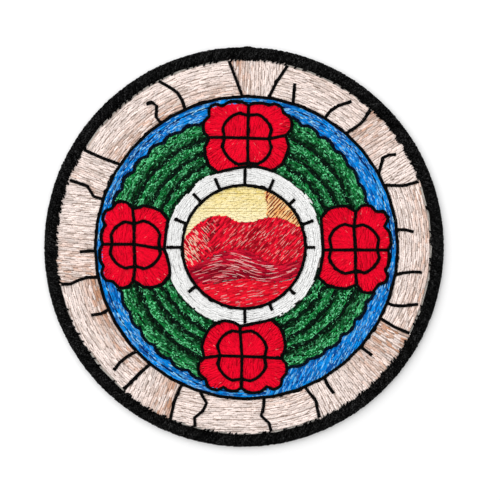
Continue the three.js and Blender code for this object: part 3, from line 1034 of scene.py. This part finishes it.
# %% [markdown]
# The round picture: a pale sky, a glow hatched with dark red, rolling hills, a deep trough and a
# bright foot. Fine streaks follow the hills, the trough and the foot, and stitches lap over their
# neighbours at the borders. A side is a border, as a share of the dial's radius from the middle, and
# whether the stitches lie on its left.

# %% Round picture
HATCH_ANGLE = 47
EDGE_ANGLE = 82
EDGE_WIDTH = 0.5
STRAND_OVERLAP = 0.1
PICTURE_LAP = 0.35
BORDER_WANDER = 0.12
EVERYWHERE = (9.0, True)
LEFT_HILL = (-0.6, True)
RIGHT_HILLS = (-0.6, False)
RIGHT_STREAKS = (-0.3, False)

glow_shade = between(AMBER, HONEY)
hatch_shade = between(RUST, OXBLOOD)
pale_streak = between(MADDER, PALE_PINK, power=0.8)
foot_shade = between(FOOT_RED, FOOT_SHADOW, power=1.5)


def picture_share(places):
    """Places as shares of the dial's radius from its centre."""
    return (places - dial_centre) / dial_radius


def sky_shade(places):
    """Straw, more golden towards the top."""
    height = picture_share(places)[:, 1]
    gold = np.clip(height * 2.2 - 1.0, 0, 1) * rng.uniform(0.2, 1, len(places)) + 0.2 * some(places, 0.2)
    return uneven(mix(STRAW, GOLD, gold), 0.94, 1.02)


def soft_oval(places, centre, size):
    """A value that falls from 1 in the middle of an oval. Both are shares of the dial's radius."""
    offset = (picture_share(places) - centre) / size
    return np.exp(-offset[:, 0] ** 2 - offset[:, 1] ** 2)


def hill_shade(places):
    """Red, deeper where the hills roll away."""
    hollow = soft_oval(places, (0.15, 0.05), (0.22, 0.3))
    deep = np.clip(rng.random(len(places)) ** 1.6 + 0.45 * hollow, 0, 1)
    return mix(HILL_RED, HILL_SHADOW, deep)


def glow_hatch(loops):
    """Dark red lines across the glow, and short ones along its left edge."""
    course = straight(HATCH_ANGLE)
    lines = stitches_inside(loops, course, pitch=0.55, length=5.0, drift=0.08)
    upright = straight(EDGE_ANGLE)
    edge = flecks_inside(loops, upright, density=14, shortest=0.4, longest=0.9, tilt=40)
    edge = edge[middles(edge, upright)[:, 0] - loops[0][:, 0].min() < EDGE_WIDTH]
    return [sewn("picture_glow", course, lines, hatch_shade, width=0.22, raised=0.06, ends=0.5),
            sewn("picture_glow", upright, edge, hatch_shade, width=0.2, raised=0.07, ends=0.5)]


def hill_streak(places):
    """Pink, and nearly cream at the left edge, where the day breaks."""
    dawn = np.clip(-picture_share(places)[:, 0] * 3.2 - 1.6, 0, 1)
    return blend(mix(CORAL, BLUSH, rng.random(len(places)) ** 0.8), DAWN, dawn * 0.9)


def trough_shade(places):
    """Crimson, deepest along its foot at the left."""
    deep = soft_oval(places, (-0.15, -0.47), (0.6, 0.13))
    return mix(TROUGH_RED, TROUGH_SHADOW, np.clip(0.9 * rng.random(len(places)) ** 1.3 + 0.6 * deep, 0, 1))


def side_of(stitches, course, side):
    """The stitches whose middle lies on one side of a ragged border."""
    border, left = side
    share = picture_share(middles(stitches, course))
    return stitches[(share[:, 0] < border + BORDER_WANDER * rng.normal(size=len(stitches))) == left]


TROUGH_ROWS = wavy(depth=0.9, length=17.0, crest=-4.0)

# Node, pad, slot, then fills as (course, shade, pitch, stitch length, side) and streaks as
# (course, shade, density, shortest, longest, tilt, side)
PICTURE = (
    ("picture_sky", SKY_PAD, "straw_thread",
     [(straight(0), sky_shade, 0.3, 1.4, EVERYWHERE)], []),
    ("picture_glow", GLOW_PAD, "orange_thread",
     [(straight(HATCH_ANGLE), glow_shade, 0.28, 2.4, EVERYWHERE)], []),
    ("picture_hills", HILL_PAD, "red_thread",
     [(straight(46), hill_shade, 0.27, 1.3, RIGHT_HILLS), (straight(-50), hill_shade, 0.27, 1.3, LEFT_HILL)],
     [(straight(46), hill_streak, 2.2, 0.5, 1.7, 7, RIGHT_STREAKS),
      (straight(-50), hill_streak, 5.5, 0.7, 1.6, 4, LEFT_HILL)]),
    ("picture_trough", TROUGH_PAD, "crimson_thread",
     [(TROUGH_ROWS, trough_shade, 0.27, 2.0, EVERYWHERE)],
     [(TROUGH_ROWS, pale_streak, 1.2, 1.0, 4.0, 4, EVERYWHERE)]),
    ("picture_foot", FOOT_PAD, "scarlet_thread",
     [(straight(12), foot_shade, 0.27, 2.0, EVERYWHERE)],
     [(straight(14), pale_streak, 1.1, 0.5, 2.2, 7, EVERYWHERE)]),
)

for node, pad, slot, fills, streaks in PICTURE:
    loops = node_loops(node)
    parts = [low_solid(node, pad)]
    for course, shade, pitch, length, side in fills:
        rows = side_of(stitches_inside(loops, course, pitch, length, lap=PICTURE_LAP), course, side)
        parts.append(sewn(node, course, rows, shade, width=pitch + STRAND_OVERLAP, sink=0.14, ends=0.6))
    for course, shade, density, shortest, longest, tilt, side in streaks:
        flecks = side_of(flecks_inside(loops, course, density, shortest, longest, tilt), course, side)
        parts.append(sewn(node, course, flecks, shade, width=0.14, raised=0.05, ends=0.4))
    if node == "picture_glow":
        parts += glow_hatch(loops)
    make_piece(f"stitched_{node}", parts, rayon, [node])


# %% [markdown]
# Black lines. Each line is a ribbon in the frame. Two strands follow its two edges, a third of its
# width inside, waver a little and dip at every stitch, over a low black ribbon that fills the rest.
# The lines of a garland are sewn in a green that is nearly black, and sink among the leaves.

# %% Black lines
LINE_STEP = 0.27
LINE_STITCH = 1.5
LINE_STRAND = 0.28
LINE_INSET = 0.2
LINE_WAVER = 0.13
LINE_DIP = 0.08
LINE_DROP = 0.02
LINE_UNEVEN = 0.15
RIBBON_HEIGHT = 0.1
SUNK_RIBBON_HEIGHT = 0.02
VEIN_DEPTH = 0.2


def line_strands(node, colour, sunk):
    """One closed run of strands inside each outline of a line's ribbon."""
    corners, _ = node_arrays(node)
    middle = (corners[:, 2].min() + corners[:, 2].max()) / 2 - sunk
    ribbon_height = SUNK_RIBBON_HEIGHT if sunk else RIBBON_HEIGHT
    parts = [low_solid(node, colour, ribbon_height, LINE_INSET / 2)]
    for loop in node_loops(node):
        ring = resample(loop, LINE_STEP)
        noise = np.tile(rng.normal(0, LINE_WAVER, len(ring)), 3)
        waver = np.convolve(noise, [0.25, 0.5, 0.25], "same")[len(ring):2 * len(ring)]
        ring = beside(ring, LINE_INSET) + waver[:, None] * rng.choice([-1, 1], 2)
        ring = np.vstack([ring, ring[:2]])
        stitch = np.arange(len(ring)) * LINE_STEP / LINE_STITCH + rng.random()
        swell = np.abs(np.sin(np.pi * stitch)) ** 0.5
        height = middle - LINE_DROP + LINE_DIP * (swell - 1)
        path = np.concatenate([ring, height[:, None]], axis=1)[None]
        size = (LINE_STRAND * (0.84 + 0.16 * swell + LINE_UNEVEN * rng.normal(size=len(ring))))[None]
        tube = strands(path, size, size * 0.9)
        parts.append((*tube, rgb(colour) * rng.uniform(0.5, 1.6, (len(tube[0]), 1))))
    return parts


for node in [name for name in nodes if name.endswith("_line") or name.endswith("_outline")]:
    leafy = node.startswith("garland")
    colour = (NAVY if node.endswith("_edge_line") else VEIN) if leafy else INK
    sunk = VEIN_DEPTH if colour == VEIN else 0.0
    parts = line_strands(node, colour, sunk)
    make_piece(f"stitched_{node}", parts, black_thread, [node])


# %% [markdown]
# The border is overlocked: one yarn wraps the edge again and again, side by side, and each wrap
# leans a little. Its inner ends are uneven, where they bite between the stones' stitches, and a
# core ring fills the space between the wraps and the cloth. The yarn is joined near the top.

# %% Border
WRAPS = 560
WRAP_RINGS = 12
WRAP_SIDES = 6
WRAP_WIDTH = 0.56
WRAP_HEIGHT = 0.24
WRAP_LEAN = 1.1
STITCH_TOP = 1.25
JOIN_BEARING = 359.5
JOIN_BULGE = 0.22
JOIN_SPREAD = 1.1
WRAP_TURNS = (-0.36, 1.05)
WRAP_UNEVEN = 0.03
BITES = (-0.32, -0.05, 0.38)
BITE_WANDER = 0.08
CORE_SHRINK = 0.16


def border_wraps():
    """Wraps over the crown, each an arch from the outer foot to the inner end. At a turn from 0 at
    the rim to pi at the inner end, reach is the cosine's share of half the border's width, and
    height rises by the sine from the foot's height to the crown."""
    top = border_corners[:, 2].max()
    half = (OUTER_RIM - RIM - WRAP_HEIGHT) / 2
    turn = np.linspace(*WRAP_TURNS, WRAP_RINGS) * np.pi
    bearing = 2 * np.pi * (np.arange(WRAPS) + 0.1 * rng.normal(size=WRAPS)) / WRAPS
    away = turn_from(np.degrees(bearing), JOIN_BEARING)
    bulge = JOIN_BULGE * np.exp(-(away / JOIN_SPREAD) ** 2) + WRAP_UNEVEN * rng.normal(size=WRAPS)
    bite = rng.choice(BITES, WRAPS) + BITE_WANDER * rng.normal(size=WRAPS)
    stretch = np.where(np.cos(turn)[None, :] > 0, half + bulge[:, None], half + bite[:, None])
    reach = RIM_MIDDLE + stretch * np.cos(turn)[None, :]
    foot = np.where(turn > np.pi / 2, STITCH_TOP - 0.1, 0.55 * top)[None, :]
    crown = top - WRAP_HEIGHT / 2 + WRAP_UNEVEN * rng.normal(size=WRAPS)[:, None]
    rise = np.where(turn > 0, foot + (crown - foot) * np.sin(turn)[None, :],
                    foot * (1 + np.sin(turn)[None, :] * 0.98) + 0.12)
    lean = bearing[:, None] + np.cos(turn)[None, :] * WRAP_LEAN / OUTER_RIM
    return np.stack([reach * np.sin(lean), reach * np.cos(lean), rise], axis=2)


def wrap_tubes(paths):
    """Tubes whose sections stand square to a path that turns upright."""
    along = unit(np.gradient(paths, axis=1))
    sideways = np.cross(UP, unit(paths * (1, 1, 0)))
    sideways = unit(sideways - (sideways * along).sum(axis=2, keepdims=True) * along)
    width = WRAP_WIDTH * np.interp(np.linspace(0, 1, WRAP_RINGS), [0, 0.7, 1], [1, 1, 0.5])
    width, height = np.broadcast_to(width, paths.shape[:2]), np.full(paths.shape[:2], WRAP_HEIGHT)
    return strands(paths, width, height, WRAP_SIDES, sideways, np.cross(along, sideways), start=0)


def border_core():
    """A plain ring under the wraps, from the border's own solid made a little smaller."""
    corners = border_corners.copy()
    shrunk = border_reach - np.sign(border_reach - RIM_MIDDLE) * CORE_SHRINK
    corners[:, :2] *= (shrunk / border_reach)[:, None]
    corners[corners[:, 2] > corners[:, 2].max() / 2, 2] -= CORE_SHRINK
    return plain_part(corners, border_triangles, INK)


tubes = wrap_tubes(border_wraps())
tones = np.repeat(rng.uniform(0.4, 1.6, WRAPS), WRAP_RINGS * WRAP_SIDES)[:, None]
wraps = (*tubes, rgb(INK) * tones)
make_piece("overlocked_border", [border_core(), wraps], overlock_yarn, ["overlock_border"])


# %% [markdown]
# The patch lies on a plain pale floor, and the camera looks straight down through a long lens.

# %% Floor, light and camera
VIEW_CENTRE = (1.2, -0.6)
VIEW_WIDTH = 100.0
LENS = 100.0
SENSOR = 36.0
FACE_HEIGHT = 1.2
ROOM_LIGHT = 0.73
KEY_PLACE = (-0.22, 0.27, 0.48)
KEY_SIZE = 0.9
KEY_POWER = 3.5

floor_mesh = bpy.data.meshes.new("floor")
floor_mesh.from_pydata([(-3, -3, 0), (3, -3, 0), (3, 3, 0), (-3, 3, 0)], [], [(0, 1, 2, 3)])
floor = add_object("floor", floor_mesh)
floor_material, floor_tree = new_material("pale_floor")
floor_shader = add_node(floor_tree, "ShaderNodeBsdfPrincipled",
                        {"Base Color": (*rgb(FLOOR), 1.0), "Roughness": 0.9})
add_node(floor_tree, "ShaderNodeOutputMaterial", {"Surface": floor_shader.outputs[0]})
floor_mesh.materials.append(floor_material)

key_data = bpy.data.lights.new("key_light", "AREA")
key_data.size = KEY_SIZE
key_data.energy = KEY_POWER
key_light = add_object("key_light", key_data)
key_light.location = KEY_PLACE
key_light.rotation_euler = Vector(KEY_PLACE).to_track_quat("Z", "Y").to_euler()

world = bpy.data.worlds.new("soft_room")
world.use_nodes = True
world.node_tree.nodes["Background"].inputs["Color"].default_value = (1, 1, 1, 1)
world.node_tree.nodes["Background"].inputs["Strength"].default_value = ROOM_LIGHT
bpy.context.scene.world = world
bpy.context.scene.view_settings.view_transform = "Standard"

camera_data = bpy.data.cameras.new("camera")
camera_data.lens = LENS
camera_data.sensor_width = SENSOR
camera = add_object("camera", camera_data)
distance = VIEW_WIDTH * LENS / SENSOR
camera.location = (VIEW_CENTRE[0] * MM, VIEW_CENTRE[1] * MM, (distance + FACE_HEIGHT) * MM)
bpy.context.scene.camera = camera
